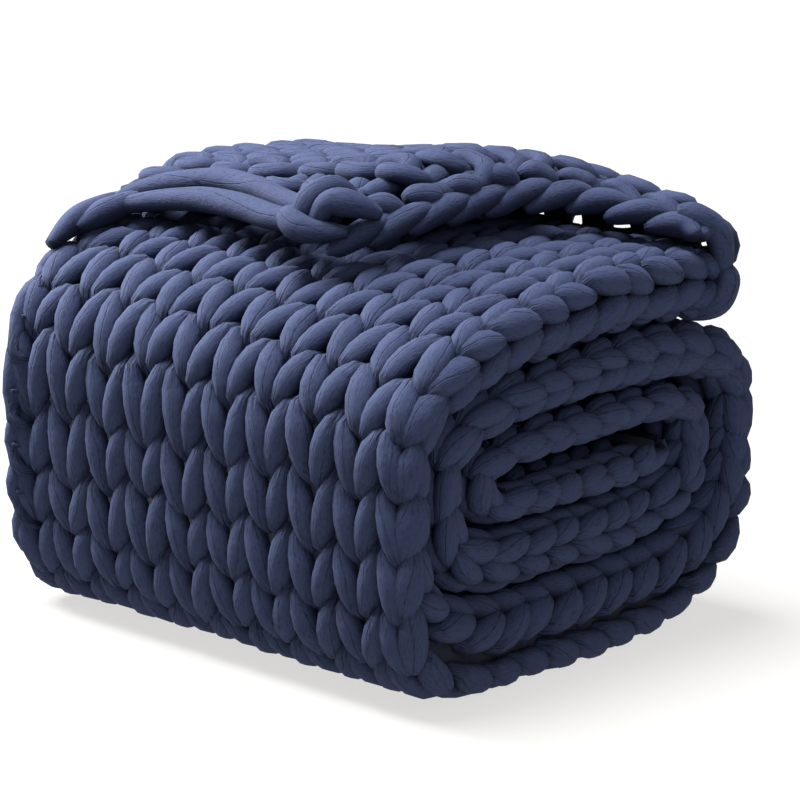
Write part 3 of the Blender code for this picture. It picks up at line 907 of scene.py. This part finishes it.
def jersey(name, shade, light, flank):
    """The yarn's cover between a shade and a light colour; flank is the share of the crest's painted light
    that the flanks keep.
    """
    material = bpy.data.materials.new(name)
    material.use_nodes = True
    tree = material.node_tree
    shader = tree.nodes["Principled BSDF"]
    wire = Wire(tree)
    yarn = wire.node("ShaderNodeAttribute", {}, "Vector", attribute_name="yarn")
    pinch = wire.node("ShaderNodeAttribute", {}, "Fac", attribute_name="pinch")
    around_x = wire.node("ShaderNodeSeparateXYZ", {0: yarn}, "X")
    around_y = wire.node("ShaderNodeSeparateXYZ", {0: yarn}, "Y")
    grain = noise_on(yarn, GRAIN_STRETCH, 620.0, 1.0)
    cloudy = noise_on(yarn, CLOUD_STRETCH, 26.0)
    creases = noise_on(yarn, CREASE_STRETCH, 75.0)
    seam = seam_on(yarn, around_x, around_y)
    # Where the yarn is pinched under its neighbours it gets creases and painted shade.
    gather_and_shade = pinch.eased(*GATHER_AND_SHADE_EDGES)
    # Painted light on the crest and painted shade on the flanks, where neighbouring stitches would shade
    # them.
    lit = flank + (1.0 - flank) * around_y.eased(*CREST_EDGES)
    tone = (1.5 * grain + 0.3 * cloudy - 0.18) * lit - 0.40 * seam - 0.30 * gather_and_shade
    tone = tone.eased(*TONE_EDGES)
    colour = wire.node("ShaderNodeMix", {"Factor": tone, "A": (*shade, 1.0), "B": (*light, 1.0)}, 2,
                       data_type="RGBA")
    height = 0.0006 * grain + 0.0050 * gather_and_shade * creases - 0.0011 * seam + 0.0022 * cloudy
    bump = wire.node("ShaderNodeBump", {"Strength": 1.0, "Distance": 1.0, "Height": height}, "Normal")
    tree.links.new(colour.socket, shader.inputs["Base Color"])
    tree.links.new(bump.socket, shader.inputs["Normal"])
    shader.inputs["Roughness"].default_value = JERSEY_ROUGHNESS
    shader.inputs["Specular IOR Level"].default_value = JERSEY_SPECULAR
    return material


# SHADE is the painted shade of the flanks and pinched places, LIGHT the lit crest; the grain and clouds also
# mix between them.
SHADE = (0.0024, 0.0031, 0.0085)
LIGHT = (0.0265, 0.0350, 0.0770)
# One jersey in three copies, which differ only in how much painted shade lies on their flanks.
navy = jersey("navy_jersey", SHADE, LIGHT, flank=0.10)
end_navy = jersey("navy_jersey_end", SHADE, LIGHT, flank=0.45)
side_navy = jersey("navy_jersey_side", SHADE, LIGHT, flank=0.95)
print("materials", navy.name, end_navy.name, side_navy.name, len(navy.node_tree.nodes), "nodes each")

# %% [markdown]
# ## Floor
# The photograph has a white floor, so brightly lit that only a soft, warm shadow is left under the
# roll. A white floor under our lamps could do that too, but it would throw much light back up at the
# stitches. So the floor is made dark grey, and gives off an even glow of its own.

# %% Floor
FLOOR = 12.0                             # metres from its middle to its edge
FLOOR_COLOUR = (0.12, 0.12, 0.117)
FLOOR_GLOW = (1.0, 0.99, 0.97)
FLOOR_GLOW_STRENGTH = 0.66


def plain(name, colour, roughness):
    """A material of one colour."""
    material = bpy.data.materials.new(name)
    material.use_nodes = True
    shader = material.node_tree.nodes["Principled BSDF"]
    shader.inputs["Base Color"].default_value = (*colour, 1)
    shader.inputs["Roughness"].default_value = roughness
    return material


floor_mesh = bpy.data.meshes.new("floor")
corners = [(-FLOOR, -FLOOR, 0), (FLOOR, -FLOOR, 0), (FLOOR, FLOOR, 0), (-FLOOR, FLOOR, 0)]
floor_mesh.from_pydata(corners, [], [(0, 1, 2, 3)])
pale = plain("pale_floor", FLOOR_COLOUR, 0.9)
pale_shader = pale.node_tree.nodes["Principled BSDF"]
pale_shader.inputs["Specular IOR Level"].default_value = 0.0
pale_shader.inputs["Emission Color"].default_value = (*FLOOR_GLOW, 1.0)
pale_shader.inputs["Emission Strength"].default_value = FLOOR_GLOW_STRENGTH
floor_mesh.materials.append(pale)
floor = bpy.data.objects.new("floor", floor_mesh)
bpy.context.scene.collection.objects.link(floor)
print("floor", 2.0 * FLOOR, "m wide")

# %% [markdown]
# ## Light
# The light in the photograph comes from everywhere, with more of it from high up on the left. A pale
# world gives the first part. A broad sun lights the top and casts the soft shadow, and its light
# doesn't fade across the floor. A lamp on the left grazes the front, so that every stitch has a light
# and a dark side, and a weak one on the right opens up the shadows of the folded end.

# %% Light
WORLD_STRENGTH = 0.40
SUN_STRENGTH = 10.0
SUN_WIDTH = math.radians(30.0)
SUN_DIRECTION = (0.42, 0.12, -1.5)
# for each lamp: its name, width, power in watts, place and the point that it faces
LAMPS = (
    ("key", 0.5, 72.0, (-1.35, -0.42, 1.05), (-0.1, -0.1, 0.2)),
    ("fill", 0.8, 6.0, (1.60, -0.30, 1.00), (0.2, 0.0, 0.2)),
)


def add_light(name, kind, direction):
    """A light in the scene that shines along a direction."""
    data = bpy.data.lights.new(name, kind)
    lamp = bpy.data.objects.new(name, data)
    lamp.rotation_euler = Vector(direction).to_track_quat("-Z", "Y").to_euler()
    bpy.context.scene.collection.objects.link(lamp)
    return lamp


world = bpy.data.worlds.new("studio")
world.use_nodes = True
world.node_tree.nodes["Background"].inputs["Color"].default_value = (1.0, 1.0, 1.0, 1.0)
world.node_tree.nodes["Background"].inputs["Strength"].default_value = WORLD_STRENGTH
bpy.context.scene.world = world

sun = add_light("sun", "SUN", SUN_DIRECTION)
sun.data.energy = SUN_STRENGTH
sun.data.angle = SUN_WIDTH
for name, width, power, place, target in LAMPS:
    lamp = add_light(name, "AREA", Vector(target) - Vector(place))
    lamp.location = place
    lamp.data.shape = "SQUARE"
    lamp.data.size = width
    lamp.data.energy = power
bpy.context.scene.view_settings.view_transform = "Standard"

# %% [markdown]
# ## The pieces' materials
# Every piece gets its jersey and rides the one body, and so does the dark strip. The CAD solids are
# hidden.

# %% Pieces and materials
# The hidden strip is painted in the dark shade that lies on the yarn inside the roll.
HIDDEN_SHADE_COLOUR = (0.006, 0.008, 0.018)
# The edge pieces get the copies with less painted shade on their flanks.
FREE_EDGES = {"outer_turn_edge": side_navy, "inner_turns_edge": end_navy, "inner_layer_edge": end_navy}
hidden.data.materials.append(plain("hidden_navy_shade", HIDDEN_SHADE_COLOUR, 1.0))
for piece in pieces:
    piece.data.materials.append(FREE_EDGES.get(piece.name, navy))
for piece in pieces + [hidden]:
    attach(piece, "root")
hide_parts("wound_roll")
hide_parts("loose_end")
